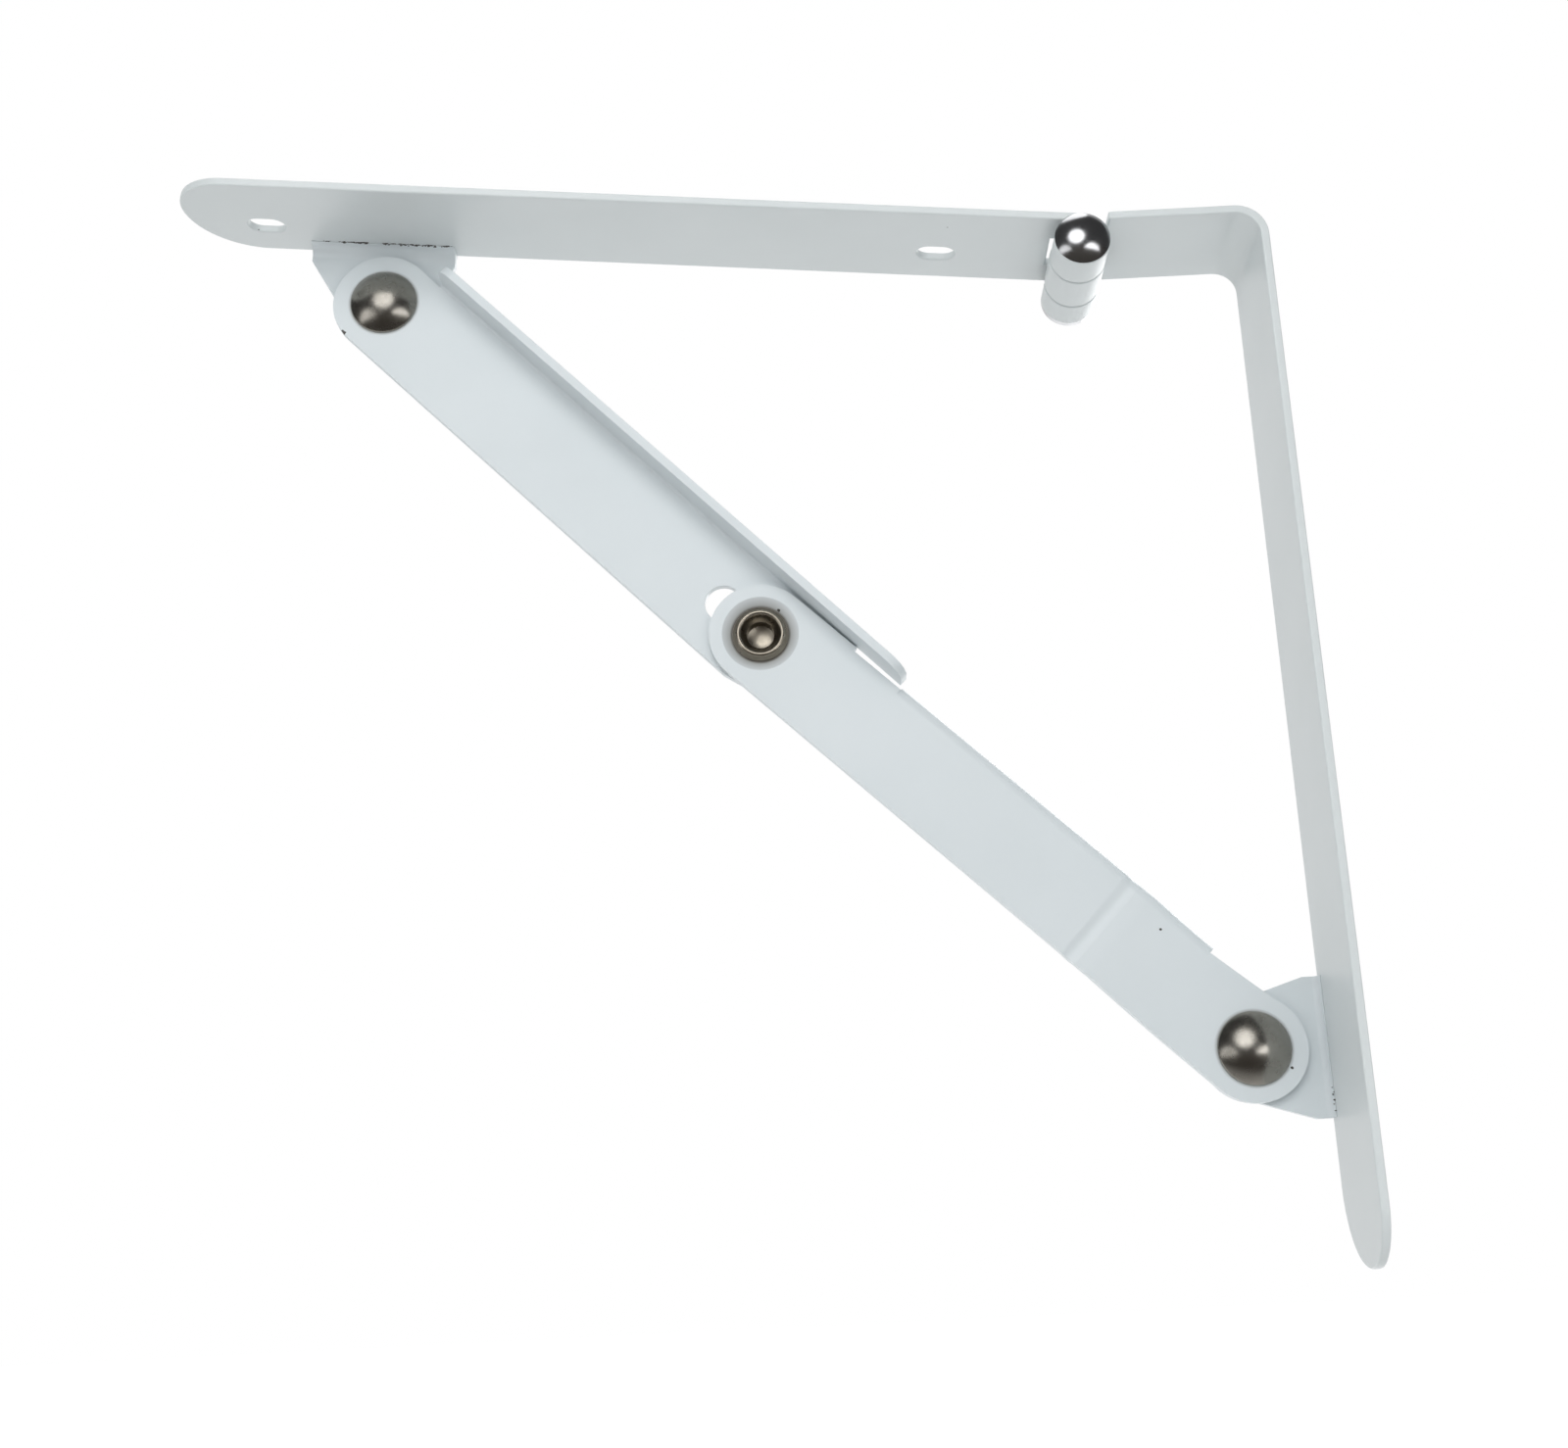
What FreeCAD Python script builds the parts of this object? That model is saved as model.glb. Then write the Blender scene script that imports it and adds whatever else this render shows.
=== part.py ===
"""Drop leaf table bracket: parametric FreeCAD document and STEP export.

Frame: X points to the wall, Y runs back from the strips' near edge, Z is up.
The hinge axis of the leaf is the line X = 0, Z = 0. Lengths are in millimetres.
"""

import FreeCAD
import Part
import Sketcher

import math
import os
from typing import NamedTuple

VALUES = {
    "strip_width": 30.0, "sheet": 2.0, "gap": 0.3, "fit": 0.05,
    "barrel_radius": 6.6, "knuckle_one": 9.4, "knuckle_two": 21.4, "strip_start": 6.5,
    "pin_head_radius": 6.4, "pin_head_rise": 2.6, "pin_tail_rise": 1.9,
    "leaf_raise": 5.87, "leaf_reach": 213.8, "tip_near": 12.5,
    "slot_from_tip": 19.0, "slot_from_hinge": 33.0, "slot_across": 18.6,
    "slot_span": 9.0, "slot_width": 6.0,
    "wall_face": 43.0, "wall_bend": 5.5, "wall_drop": 231.6,
    "lug_root": 3.8, "lug_tip_radius": 11.5, "flare_lip": 0.25, "leaf_flare": 3.0, "wall_flare": 1.6,
    "leaf_lug_out": 19.5, "leaf_lug_in": 15.8, "wall_lug_up": 15.4, "wall_lug_down": 15.5,
    "leaf_pivot_along": 166.0, "leaf_pivot_below": 10.9, "wall_pivot_x": 24.7, "wall_pivot_z": -183.9,
    "knee_x": -78.56, "knee_z": -83.94,
    "upper_half": 12.4, "flange_inner": 12.9, "flange_rise": 9.5, "fold_radius": 0.8,
    "flange_start": 7.0, "flange_past": 31.8, "flange_corner": 5.0,
    "web_past": 18.0, "tongue_past": 29.0, "tongue_half": 9.5, "tongue_low": 6.0,
    "lock_travel": 11.8, "lock_half": 4.35, "washer_radius": 9.0, "washer_thick": 1.0,
    "lower_half": 11.9, "back_start": 33.0, "back_end": 123.5, "back_rise": 3.8, "back_step": 1.8,
    "relief_start": 19.0, "relief_deep": 1.0,
    "step_far": 43.7, "step_near": 17.5, "eye_radius": 11.8, "eye_lead": 105.0,
    "dish_radius": 8.9, "dish_floor": 6.6, "dish_deep": 1.2,
    "rivet_radius": 4.0, "dome_radius": 8.1, "dome_rise": 3.6, "tail_radius": 6.5, "tail_rise": 1.6,
    "knee_radius": 4.2, "rim_radius": 6.1, "rim_rise": 1.7, "rim_chamfer": 0.5,
    "bore_mouth": 4.4, "bore_radius": 3.2, "bore_taper": 2.0, "bore_deep": 3.0, "bore_point": 1.2,
}

DOME_FACETS = 5

LUG_Y = "(v.strip_width - v.sheet)"
UPPER_Y = f"({LUG_Y} - v.gap - v.sheet)"
LOWER_Y = f"({UPPER_Y} - v.gap - v.sheet)"
UNDER = "(v.barrel_radius - v.sheet)"
WALL_IN = "(v.wall_face - v.sheet)"
TIP_FAR = "(v.strip_width - v.tip_near)"
LEAF_PIVOT_X = "(-v.leaf_pivot_along * cos(v.leaf_raise) - v.leaf_pivot_below * sin(v.leaf_raise))"
LEAF_PIVOT_Z = "(v.leaf_pivot_along * sin(v.leaf_raise) - v.leaf_pivot_below * cos(v.leaf_raise))"
UPPER_RUN = f"(v.knee_x - {LEAF_PIVOT_X})"
UPPER_FALL = f"({LEAF_PIVOT_Z} - v.knee_z)"
LOWER_RUN = "(v.wall_pivot_x - v.knee_x)"
LOWER_FALL = "(v.knee_z - v.wall_pivot_z)"
UPPER_LENGTH = f"sqrt({UPPER_RUN} ^ 2 + {UPPER_FALL} ^ 2)"
LOWER_LENGTH = f"sqrt({LOWER_RUN} ^ 2 + {LOWER_FALL} ^ 2)"

X_AXIS = FreeCAD.Vector(1, 0, 0)
Y_AXIS = FreeCAD.Vector(0, 1, 0)
Z_AXIS = FreeCAD.Vector(0, 0, 1)


class Plane(NamedTuple):
    """A sketch plane: the axis it faces, the length that points that way and its rotation."""

    axis: str
    length: str
    rotation: FreeCAD.Rotation


# A side sketch lies in XZ, a plan sketch in XY and a section sketch in YZ.
SIDE = Plane("y", "LengthRev", FreeCAD.Rotation(X_AXIS, 90))
PLAN = Plane("z", "LengthFwd", FreeCAD.Rotation())
SECTION = Plane("x", "LengthFwd", FreeCAD.Rotation(FreeCAD.Vector(1, 1, 1), 120))

doc = FreeCAD.newDocument("drop_leaf_bracket")
sheet = doc.addObject("Spreadsheet::Sheet", "v")


def fill_sheet():
    """Write the driving dimensions into the spreadsheet, one alias per cell."""
    for row, (alias, value) in enumerate(VALUES.items(), start=1):
        sheet.set(f"A{row}", alias)
        sheet.set(f"B{row}", str(value))
        sheet.setAlias(f"B{row}", alias)
    doc.recompute()


def number(expression):
    """Give an expression's present value."""
    value = sheet.evalExpression(expression)
    return float(getattr(value, "Value", value))


def pin_point(sketch, geometry, end, x, y):
    """Tie a point of the sketch to two expressions."""
    for kind, expression in (("DistanceX", x), ("DistanceY", y)):
        tie(sketch, Sketcher.Constraint(kind, -1, 1, geometry, end, number(expression)), expression)


def tie(sketch, constraint, expression):
    """Add a constraint and bind its value to an expression."""
    index = sketch.addConstraint(constraint)
    sketch.setExpression(f"Constraints[{index}]", expression)


def add_loop(sketch, corners):
    """Draw one closed loop.

    A corner is (x, y), with a straight run to the next corner, or (x, y, centre_x,
    centre_y, turns_left), with an arc to it. Every value is an expression.
    """
    first = sketch.GeometryCount
    places = [FreeCAD.Vector(number(c[0]), number(c[1]), 0) for c in corners]
    starts = []
    for index, corner in enumerate(corners):
        here, there = places[index], places[(index + 1) % len(corners)]
        starts.append(1)
        if len(corner) == 2:
            sketch.addGeometry(Part.LineSegment(here, there))
            continue
        centre = FreeCAD.Vector(number(corner[2]), number(corner[3]), 0)
        if not corner[4]:
            starts[-1] = 2
            here, there = there, here
        angles = [math.atan2(p.y - centre.y, p.x - centre.x) for p in (here, there)]
        if angles[1] <= angles[0]:
            angles[1] += 2 * math.pi
        circle = Part.Circle(centre, Z_AXIS, (here - centre).Length)
        sketch.addGeometry(Part.ArcOfCircle(circle, angles[0], angles[1]))
    for index, corner in enumerate(corners):
        after = (index + 1) % len(corners)
        sketch.addConstraint(Sketcher.Constraint(
            "Coincident", first + index, 3 - starts[index], first + after, starts[after]))
        pin_point(sketch, first + index, starts[index], corner[0], corner[1])
        if len(corner) > 2:
            chord = places[after] - places[index]
            kind, at = ("DistanceX", 2) if abs(chord.y) >= abs(chord.x) else ("DistanceY", 3)
            tie(sketch, Sketcher.Constraint(kind, -1, 1, first + index, 3, number(corner[at])), corner[at])


def add_circle(sketch, x, y, radius):
    """Draw one hole."""
    centre = FreeCAD.Vector(number(x), number(y), 0)
    index = sketch.addGeometry(Part.Circle(centre, Z_AXIS, number(radius)))
    pin_point(sketch, index, 3, x, y)
    tie(sketch, Sketcher.Constraint("Radius", index, number(radius)), radius)


def draw(name, loops, circles=()):
    """Make a sketch from closed loops and circles."""
    sketch = doc.addObject("Sketcher::SketchObject", name)
    for loop in loops:
        add_loop(sketch, loop)
    for circle in circles:
        add_circle(sketch, *circle)
    return sketch


def on_plane(name, plane, start, loops, circles=()):
    """Draw a sketch on a plane at its start along the plane's axis."""
    sketch = draw(name, loops, circles)
    sketch.Placement = FreeCAD.Placement(FreeCAD.Vector(), plane.rotation)
    sketch.setExpression(f"Placement.Base.{plane.axis}", start)
    return sketch


def extrude(name, plane, start, length, loops, circles=()):
    """Extrude a sketch from its start along the plane's axis."""
    solid = doc.addObject("Part::Extrusion", name)
    solid.Base = on_plane(f"{name}_sketch", plane, start, loops, circles)
    solid.DirMode = "Normal"
    solid.Solid = True
    solid.setExpression(plane.length, length)
    return solid


def loft(name, sections):
    """Join section sketches with straight rulings."""
    solid = doc.addObject("Part::Loft", name)
    solid.Sections = sections
    solid.Solid = True
    solid.Ruled = True
    return solid


def turn(name, loop, x="0", z="0"):
    """Turn a profile of (radius, depth) corners about an axis along Y."""
    solid = doc.addObject("Part::Revolution", name)
    solid.Source = draw(f"{name}_sketch", [loop])
    solid.Axis = Y_AXIS
    solid.Angle = 360
    solid.Solid = True
    return place(solid, x, z, "0")


def place(solid, x, z, angle):
    """Move a solid and turn it about Y by an expression in degrees."""
    # Any turn about Y sets the axis: its angle is bound below.
    solid.Placement = FreeCAD.Placement(FreeCAD.Vector(), FreeCAD.Rotation(Y_AXIS, 90))
    solid.setExpression("Placement.Base.x", x)
    solid.setExpression("Placement.Base.z", z)
    solid.setExpression("Placement.Rotation.Angle", angle)
    return solid


def combine(kind, name, first, *others):
    """Fuse, cut or intersect solids."""
    solid = doc.addObject(kind, name)
    if kind == "Part::Cut":
        solid.Base, solid.Tool = first, others[0]
    else:
        solid.Shapes = [first, *others]
    solid.Refine = True
    return solid


def fuse(name, first, *others):
    """Fuse solids into one."""
    return combine("Part::MultiFuse", name, first, *others)


def obround(first_x, last_x, y, half):
    """Give the loop of a slot or plate with round ends, along X."""
    low, high = f"({y}) - ({half})", f"({y}) + ({half})"
    return [(first_x, low), (last_x, low, last_x, y, True),
            (last_x, high), (first_x, high, first_x, y, True)]


def rolled_knuckle(name, side, start, end):
    """Make a knuckle rolled from its strip, which leaves it on the given side of the hinge."""
    outer, bore = "v.barrel_radius", UNDER
    root, mouth, throat = f"{side}v.strip_start", f"{side}{outer}", f"{side}{bore}"
    left = side == ""
    loop = [(root, outer), ("0", outer, "0", "0", left), (mouth, "0"), (throat, "0", "0", "0", not left),
            ("0", bore), (root, bore)]
    return extrude(name, SIDE, start, f"({end}) - ({start})", [loop])


def make_leaf_strip():
    """Make the leaf arm: a slotted strip with a rounded end and two rolled knuckles."""
    near, far = "v.tip_near - v.leaf_reach", f"{TIP_FAR} - v.leaf_reach"
    outline = [("-v.strip_start", "0"), ("-v.strip_start", "v.strip_width"),
               (far, "v.strip_width", far, "v.tip_near", True),
               ("-v.leaf_reach", "v.tip_near", near, "v.tip_near", True), (near, "0")]
    reach = "(v.slot_span - v.slot_width) / 2"
    slots = [obround(f"{at} - {reach}", f"{at} + {reach}", "v.slot_across", "v.slot_width / 2")
             for at in ("v.slot_from_tip - v.leaf_reach", "-v.slot_from_hinge")]
    blade = extrude("leaf_blade", PLAN, UNDER, "v.sheet", [outline] + slots)
    near_roll = rolled_knuckle("leaf_roll_near", "-", "0", "v.knuckle_one")
    far_roll = rolled_knuckle("leaf_roll_far", "-", "v.knuckle_two + v.gap", "v.strip_width")
    return place(fuse("leaf_strip", blade, near_roll, far_roll), "0", "0", "v.leaf_raise")


def make_wall_strip():
    """Make the wall bracket: a strip bent to an L, with a rounded end and the middle knuckle."""
    top = "v.barrel_radius"
    bend_x, bend_z = f"({WALL_IN} - v.wall_bend)", f"({UNDER} - v.wall_bend)"
    bent = extrude("wall_bent", SIDE, "0", "v.strip_width", [[
        ("v.strip_start", top), ("v.strip_start", UNDER), (bend_x, UNDER, bend_x, bend_z, False),
        (WALL_IN, bend_z), (WALL_IN, "-v.wall_drop"), ("v.wall_face", "-v.wall_drop"),
        ("v.wall_face", bend_z, bend_x, bend_z, True), (bend_x, top)]])
    near, far = "v.tip_near - v.wall_drop", f"{TIP_FAR} - v.wall_drop"
    trim = extrude("wall_trim", SECTION, "0", "v.wall_face", [[
        ("0", near, "v.tip_near", near, True), ("v.tip_near", "-v.wall_drop", "v.tip_near", far, True),
        ("v.strip_width", far), ("v.strip_width", top), ("0", top)]])
    roll = rolled_knuckle("wall_roll", "", "v.knuckle_one + v.gap", "v.knuckle_two")
    return fuse("wall_strip", combine("Part::MultiCommon", "wall_blade", bent, trim), roll)


def make_lug(name, first, last, below, flare):
    """Make a welded lug with its pivot at the origin and its flared root at z = below."""
    shoulder, tip = f"({below} - v.lug_root)", "v.lug_tip_radius"
    plate = extrude(f"{name}_plate", SIDE, LUG_Y, "v.sheet", [[
        (f"-{first}", below), (f"-{first}", shoulder), (f"-{tip}", "0", "0", "0", True), (tip, "0"),
        (last, shoulder), (last, below)]], [("0", "0", "v.rivet_radius + v.fit")])
    front, hollow = f"({LUG_Y} - {flare})", f"({below} - v.flare_lip - {flare})"
    root = extrude(f"{name}_root", SECTION, f"-{first}", f"{first} + {last}", [[
        (LUG_Y, below), (front, below), (front, f"{below} - v.flare_lip", front, hollow, False),
        (LUG_Y, hollow)]])
    return fuse(name, plate, root)


def fold_corners(web_z, face_y, inward):
    """Give the quarter-ring loop of a fold from a web to a flange.

    web_z is where the fold leaves the web, face_y the web's face inside the fold,
    and inward the sign of the flange's direction in depth.
    """
    away = "-" if inward == "+" else "+"
    axis = f"({face_y} {inward} v.fold_radius)"
    inner, outer = f"{web_z} + v.fold_radius", f"{web_z} + v.fold_radius + v.sheet"
    left = inward == "-"
    return [(f"{face_y} {away} v.sheet", web_z, axis, web_z, left), (axis, outer),
            (axis, inner, axis, web_z, not left), (face_y, web_z)]


def make_upper_brace():
    """Make the upper brace: a flanged strip, its leaf pivot at the origin and the knee slot along X."""
    knee, half = UPPER_LENGTH, "v.upper_half"
    fold_z, fold_y = "(v.flange_inner - v.fold_radius)", f"({UPPER_Y} - v.fold_radius)"
    web_end, tongue_end = f"({knee} + v.web_past)", f"({knee} + v.tongue_past)"
    web = extrude("upper_web", SIDE, UPPER_Y, "v.sheet", [
        [("0", half, "0", "0", True), ("0", f"-{half}"), (knee, f"-{half}"), (tongue_end, "-v.tongue_low"),
         (tongue_end, "v.tongue_half"), (web_end, "v.tongue_half"), (web_end, fold_z),
         ("v.flange_start", fold_z)],
        obround(f"{knee} - v.lock_travel", knee, "0", "v.lock_half")],
        [("0", "0", "v.rivet_radius + v.fit")])
    fold = extrude("upper_fold", SECTION, "v.flange_start", f"{web_end} - v.flange_start",
                   [fold_corners(fold_z, UPPER_Y, "-")])
    front, tail = f"({UPPER_Y} - v.flange_rise)", f"({knee} + v.flange_past)"
    shoulder = f"({front} + v.flange_corner)"
    lead, trail = "(v.flange_start + v.flange_corner)", f"({tail} - v.flange_corner)"
    flange = extrude("upper_flange", PLAN, "v.flange_inner", "v.sheet", [[
        ("v.flange_start", fold_y), ("v.flange_start", shoulder, lead, shoulder, True), (lead, front),
        (trail, front, trail, shoulder, True), (tail, shoulder), (tail, fold_y)]])
    return place(fuse("upper_brace", web, fold, flange), LEAF_PIVOT_X, LEAF_PIVOT_Z,
                 f"atan2({UPPER_FALL}; {UPPER_RUN})")


def make_knee_washer():
    """Make the washer that spans the slot behind the upper brace."""
    seat = f"({UPPER_Y} + v.sheet + v.fit)"
    back, hole = f"{seat} + v.washer_thick", "v.knee_radius + v.fit"
    return turn("knee_washer", [(hole, seat), ("v.washer_radius", seat), ("v.washer_radius", back),
                                (hole, back)], "v.knee_x", "v.knee_z")


def make_lower_brace():
    """Make the lower brace: knee at the origin, stepped back to its wall eye along X."""
    half, eye, radius = "v.lower_half", LOWER_LENGTH, "v.eye_radius"
    step_in, step_out = f"({eye} - v.step_far)", f"({eye} - v.step_near)"
    flange_in = f"({half} - v.sheet)"
    fold_z, fold_y = f"({flange_in} - v.fold_radius)", f"({LOWER_Y} + v.sheet + v.fold_radius)"
    low, high = "-v.strip_width", f"{eye} + v.strip_width"
    stepped = extrude("lower_stepped", PLAN, low, "v.strip_width * 2", [[
        (low, LOWER_Y), (step_in, LOWER_Y), (step_out, UPPER_Y), (high, UPPER_Y),
        (high, f"{UPPER_Y} + v.sheet"), (step_out, f"{UPPER_Y} + v.sheet"),
        (step_in, f"{LOWER_Y} + v.sheet"), (low, f"{LOWER_Y} + v.sheet")]])
    relief = f"{half} - v.relief_deep"
    face = extrude("lower_face", SIDE, "0", "v.strip_width", [[
        ("0", half, "0", "0", True), ("0", f"-{half}"), (step_out, f"-{half}"),
        (eye, f"-{radius}", eye, "0", True),
        (f"{eye} + {radius} * cos(v.eye_lead)", f"{radius} * sin(v.eye_lead)"),
        ("v.back_end", f"{half} - v.back_step"), ("v.back_end", fold_z), ("v.back_start", fold_z),
        ("v.back_start", relief), ("v.relief_start", relief), ("v.relief_start", half)]],
        [("0", "0", "v.knee_radius + v.fit"), (eye, "0", "v.rivet_radius + v.fit")])
    slope = f"({UPPER_Y} - {LOWER_Y}) / (v.step_far - v.step_near)"
    shift = f"((v.back_end - {step_in}) * {slope})"
    inside = f"({LOWER_Y} + v.sheet)"
    fold = loft("lower_fold", [
        on_plane("lower_fold_first", SECTION, "v.back_start", [fold_corners(fold_z, inside, "+")]),
        on_plane("lower_fold_middle", SECTION, step_in, [fold_corners(fold_z, inside, "+")]),
        on_plane("lower_fold_last", SECTION, "v.back_end",
                 [fold_corners(fold_z, f"({inside} + {shift})", "+")])])
    crest = f"{fold_y} + v.back_rise"
    flange = extrude("lower_flange", PLAN, flange_in, "v.sheet", [[
        ("v.back_start", fold_y), (step_in, fold_y), ("v.back_end", f"{fold_y} + {shift}"),
        ("v.back_end", crest), ("v.back_start", crest)]])
    dish = turn("lower_dish", [("0", f"{LOWER_Y} - v.sheet"), ("v.dish_radius", f"{LOWER_Y} - v.sheet"),
                               ("v.dish_radius", LOWER_Y), ("v.dish_floor", f"{LOWER_Y} + v.dish_deep"),
                               ("0", f"{LOWER_Y} + v.dish_deep")])
    blank = fuse("lower_blank", combine("Part::MultiCommon", "lower_web", stepped, face), fold, flange)
    brace = combine("Part::Cut", "lower_brace", blank, dish)
    return place(brace, "v.knee_x", "v.knee_z", f"atan2({LOWER_FALL}; {LOWER_RUN})")


def headed(name, head_radius, rise, seat, shank, end, tail, x="0", z="0"):
    """Make a pin or rivet: a domed front head, a shank and an optional flat rear head.

    The dome is turned in a few straight facets, which lie within 0.05 mm of its sphere.
    """
    ball = f"((({head_radius}) ^ 2 + ({rise}) ^ 2) / (2 * ({rise})))"
    turns = [f"(asin({head_radius} / {ball}) * {step} / {DOME_FACETS})" for step in range(DOME_FACETS)]
    dome = [(f"{ball} * sin({angle})", f"{seat} - {rise} + {ball} * (1 - cos({angle}))") for angle in turns]
    profile = dome + [(head_radius, seat), (shank, seat), (shank, end)]
    return turn(name, profile + tail + [("0", tail[-1][1] if tail else end)], x, z)


def make_pivot_rivet(name, x, z):
    """Make a dome-headed rivet through a brace and a lug."""
    rear = "(v.strip_width + v.tail_rise)"
    tail = [("v.tail_radius", "v.strip_width"), ("v.tail_radius", rear)]
    return headed(name, "v.dome_radius", "v.dome_rise", f"({UPPER_Y} - v.fit)",
                  "v.rivet_radius", "v.strip_width", tail, x, z)


def make_hinge_pins():
    """Make the near and far halves of the hinge pin, one in each leaf knuckle."""
    radius, seat = f"({UNDER} - v.fit)", "(v.strip_width + v.fit)"
    near = headed("hinge_pin_near", "v.pin_head_radius", "v.pin_head_rise", "(-v.fit)",
                  radius, "v.knuckle_one", [])
    end, crest = "v.knuckle_two + v.gap", f"({seat} + v.pin_tail_rise)"
    far = turn("hinge_pin_far", [("0", end), (radius, end), (radius, seat), ("v.pin_head_radius", seat),
                                 ("v.pin_head_radius", crest), ("0", crest)])
    return [near, far]


def make_knee_rivet():
    """Make the hollow knee rivet with its rolled rim, pointed bore and flat rear head."""
    floor = f"({LOWER_Y} + v.dish_deep - v.fit)"
    mouth = f"({floor} - v.rim_rise)"
    rear = f"({UPPER_Y} + v.sheet + v.washer_thick + v.fit * 2)"
    crest = f"({rear} + v.tail_rise)"
    throat, bottom = f"({mouth} + v.bore_taper)", f"({mouth} + v.bore_taper + v.bore_deep)"
    return turn("knee_rivet", [
        ("0", f"{bottom} + v.bore_point"), ("v.bore_radius", bottom), ("v.bore_radius", throat),
        ("v.bore_mouth", f"{mouth} + v.rim_chamfer"), ("v.bore_mouth + v.rim_chamfer", mouth),
        ("v.rim_radius - v.rim_chamfer", mouth), ("v.rim_radius", f"{mouth} + v.rim_chamfer"),
        ("v.rim_radius", floor), ("v.knee_radius", floor), ("v.knee_radius", rear), ("v.tail_radius", rear),
        ("v.tail_radius", crest), ("0", crest)], "v.knee_x", "v.knee_z")


def export(pieces):
    """Check every object and piece, then write each piece to its STEP file."""
    doc.recompute()
    failed = [o.Name for o in doc.Objects if "Invalid" in o.State or "Error" in o.State]
    failed += [p.Name for p in pieces
               if p.Shape.isNull() or not p.Shape.isValid() or len(p.Shape.Solids) != 1]
    if failed:
        raise RuntimeError(f"failed: {failed}")
    os.makedirs("parts", exist_ok=True)
    for piece in pieces:
        piece.Shape.exportStep(os.path.join("parts", f"{piece.Label}.step"))
        print(f"{piece.Label}: {piece.Shape.Volume:.1f} mm3")


def main():
    """Build the bracket and export one STEP file per piece."""
    fill_sheet()
    leaf_lug = make_lug("leaf_lug", "v.leaf_lug_out", "v.leaf_lug_in",
                        f"({UNDER} + v.leaf_pivot_below)", "v.leaf_flare")
    wall_lug = make_lug("wall_lug", "v.wall_lug_up", "v.wall_lug_down",
                        f"({WALL_IN} - v.wall_pivot_x)", "v.wall_flare")
    export([
        make_wall_strip(),
        place(wall_lug, "v.wall_pivot_x", "v.wall_pivot_z", "90"),
        make_pivot_rivet("wall_rivet", "v.wall_pivot_x", "v.wall_pivot_z"),
        make_lower_brace(),
        make_knee_rivet(),
        make_upper_brace(),
        make_knee_washer(),
        make_leaf_strip(),
        place(leaf_lug, LEAF_PIVOT_X, LEAF_PIVOT_Z, "v.leaf_raise"),
        make_pivot_rivet("leaf_rivet", LEAF_PIVOT_X, LEAF_PIVOT_Z),
        *make_hinge_pins(),
    ])


main()
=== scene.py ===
"""Looks of a white folding table-leaf bracket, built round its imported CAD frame."""

import logging
import math
from abc import ABC, abstractmethod
from dataclasses import dataclass, field
from enum import Enum
from typing import Any

import bmesh
import bpy
from mathutils import Matrix, Vector

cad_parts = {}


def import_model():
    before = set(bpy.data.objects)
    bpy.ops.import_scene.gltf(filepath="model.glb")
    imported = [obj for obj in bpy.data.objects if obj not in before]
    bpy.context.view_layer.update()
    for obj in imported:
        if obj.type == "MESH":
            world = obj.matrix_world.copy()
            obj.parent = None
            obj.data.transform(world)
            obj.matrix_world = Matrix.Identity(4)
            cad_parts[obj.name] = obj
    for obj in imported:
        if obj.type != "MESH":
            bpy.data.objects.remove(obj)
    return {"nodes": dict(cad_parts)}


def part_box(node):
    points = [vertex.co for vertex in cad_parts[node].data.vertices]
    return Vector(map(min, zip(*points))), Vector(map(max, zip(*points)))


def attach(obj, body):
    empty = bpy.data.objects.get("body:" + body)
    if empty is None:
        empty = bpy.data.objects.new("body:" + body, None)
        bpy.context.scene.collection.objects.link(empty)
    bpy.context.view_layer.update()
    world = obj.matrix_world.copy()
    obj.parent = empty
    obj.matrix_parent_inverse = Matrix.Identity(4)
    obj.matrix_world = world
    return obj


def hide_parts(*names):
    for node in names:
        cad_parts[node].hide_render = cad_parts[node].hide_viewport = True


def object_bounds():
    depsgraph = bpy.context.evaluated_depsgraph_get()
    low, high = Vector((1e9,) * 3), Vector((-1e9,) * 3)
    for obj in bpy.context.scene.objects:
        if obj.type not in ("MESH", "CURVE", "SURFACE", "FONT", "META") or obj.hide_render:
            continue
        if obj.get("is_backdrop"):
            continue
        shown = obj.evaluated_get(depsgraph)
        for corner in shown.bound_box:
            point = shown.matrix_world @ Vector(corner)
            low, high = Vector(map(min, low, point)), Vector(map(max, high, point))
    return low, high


LOG = logging.getLogger("bracket")
MM = 0.001
PHOTO_WIDTH_PX = 1600
SENSOR_MM = 36.0
CLIP_START_M = 0.01
LEAF_RAISE = math.radians(5.87)
WHITE = "#ffffff"
SRGB_TOE, SRGB_SLOPE, SRGB_OFFSET, SRGB_POWER = 0.04045, 12.92, 0.055, 2.4
NOISE_MEAN = 0.5
HALF_TURN_DEG = 180.0

Triple = tuple[float, float, float]
Span = tuple[float, float]
Profile = list[tuple[float, float]]

UNIT: Span = (0.0, 1.0)


class Slot(Enum):
    """Material slots of the record."""

    PAINT = "white_paint"
    NICKEL = "nickel"


class Body(Enum):
    """Rigid bodies of the linkage."""

    WALL = "wall_bracket"
    LOWER = "lower_arm"
    UPPER = "upper_arm"
    LEAF = "leaf_arm"


def linear(code: str) -> tuple[float, float, float, float]:
    """Turn an sRGB hex colour into linear RGBA.

    Args:
        code: Six hex digits with a leading hash.

    Returns:
        Linear red, green and blue with an alpha of one.
    """
    levels = [int(code[i:i + 2], 16) / 255 for i in (1, 3, 5)]
    red, green, blue = [
        v / SRGB_SLOPE if v <= SRGB_TOE else ((v + SRGB_OFFSET) / (1 + SRGB_OFFSET)) ** SRGB_POWER
        for v in levels]
    return red, green, blue, 1.0


def per_metre(size_mm: float) -> float:
    """Turn a pattern's real size in millimetres into a texture scale."""
    return 1.0 / (size_mm * MM)


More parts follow.
